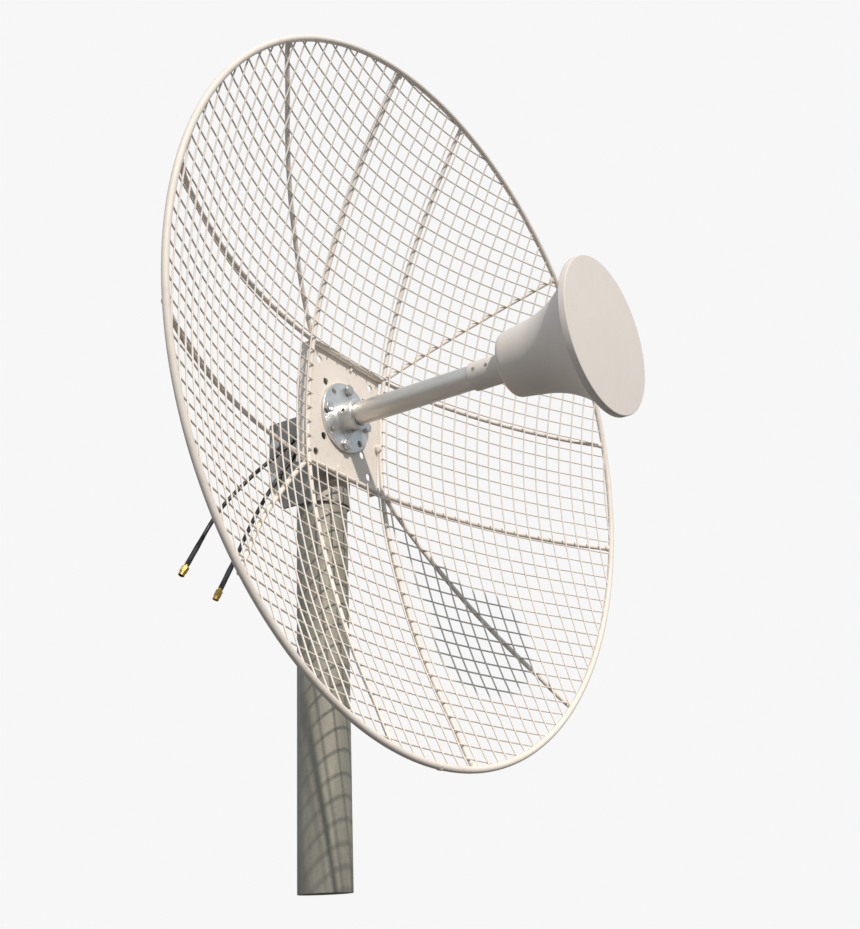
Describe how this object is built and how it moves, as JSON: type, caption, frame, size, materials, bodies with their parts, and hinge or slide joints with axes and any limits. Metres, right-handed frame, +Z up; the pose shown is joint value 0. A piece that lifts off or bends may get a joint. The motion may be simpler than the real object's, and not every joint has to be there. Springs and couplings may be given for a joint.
{
  "type": "satellite dish",
  "caption": "Round welded-mesh parabolic dish on a mast section, with a tube-borne trumpet and disc feed at its focus and coaxial leads behind.",
  "frame": {"origin": "centre of the mast section's lower end", "axes": "+Z up along the mast, -Y along the dish's boresight (level), +X to the right seen from behind the dish"},
  "size_m": [0.9076, 0.476, 1.0208],
  "materials": {
    "coat": "cream powder coat, fine texture",
    "aluminium": "turned, satin",
    "plastic": "moulded, satin, warm light grey",
    "board": "solder-masked laminate",
    "mast": "weathered dull zinc, grey-brown",
    "galvanised": "hot-dip galvanised, dull",
    "fastener": "bright zinc-plated steel",
    "cable": "black coaxial jacket, matt",
    "shrink": "black heat-shrink, dull",
    "gold": "gold-plated brass"
  },
  "bodies": {
    "mast": {"mast": "mast"},
    "dish": {"back_plate": "coat", "clamp_bolt_lower": "fastener", "clamp_bolt_upper": "fastener", "clamp_nut_lower": "fastener", "clamp_nut_upper": "fastener", "feed_hub": "aluminium", "hub_bolt_bottom": "fastener", "hub_bolt_left": "fastener", "hub_bolt_right": "fastener", "hub_bolt_top": "fastener", "lead_inner": "cable", "lead_inner_shrink": "shrink", "lead_outer": "cable", "lead_outer_shrink": "shrink", "mast_jaw_lower": "galvanised", "mast_jaw_upper": "galvanised", "mast_strap": "galvanised", "mesh_panel_11": "coat", "mesh_panel_12": "coat", "mesh_panel_13": "coat", "mesh_panel_14": "coat", "mesh_panel_21": "coat", "mesh_panel_22": "coat", "mesh_panel_23": "coat", "mesh_panel_24": "coat", "mesh_panel_31": "coat", "mesh_panel_32": "coat", "mesh_panel_33": "coat", "mesh_panel_34": "coat", "mesh_panel_41": "coat", "mesh_panel_42": "coat", "mesh_panel_43": "coat", "mesh_panel_44": "coat", "plug_inner_body": "gold", "plug_outer_body": "gold", "rib_diagonal_lower_left": "coat", "rib_diagonal_lower_right": "coat", "rib_diagonal_upper_left": "coat", "rib_diagonal_upper_right": "coat", "rib_level_bottom": "coat", "rib_level_top": "coat", "rib_upright_left": "coat", "rib_upright_right": "coat", "rim": "coat", "set_screw_bottom": "fastener", "set_screw_left": "fastener", "set_screw_right": "fastener", "set_screw_top": "fastener"},
    "feed": {"feed_tube": "aluminium", "feed_horn": "plastic", "feed_disc": "plastic", "feed_element": "board", "element_post": "aluminium", "horn_screw_rear": "fastener", "horn_screw_front": "fastener"},
    "outer_coupling": {"plug_outer_nut": "gold"},
    "inner_coupling": {"plug_inner_nut": "gold"}
  },
  "joints": [
    {"name": "azimuth_swivel", "type": "hinge", "parent": "mast", "child": "dish", "pos_m": [0, 0, 0.567], "axis": [0, 0, 1], "continuous": true},
    {"name": "feed_polarisation", "type": "hinge", "parent": "dish", "child": "feed", "pos_m": [0, -0.04, 0.567], "axis": [0, -1, 0], "range_deg": [-90, 90]},
    {"name": "outer_coupling_spin", "type": "hinge", "parent": "dish", "child": "outer_coupling", "pos_m": [-0.1865, 0.051, 0.3455], "axis": [-0.4205, 0.1869, -0.8878], "continuous": true},
    {"name": "inner_coupling_spin", "type": "hinge", "parent": "dish", "child": "inner_coupling", "pos_m": [-0.141, 0.0408, 0.32385], "axis": [-0.3155, 0.2523, -0.9148], "continuous": true}
  ]
}
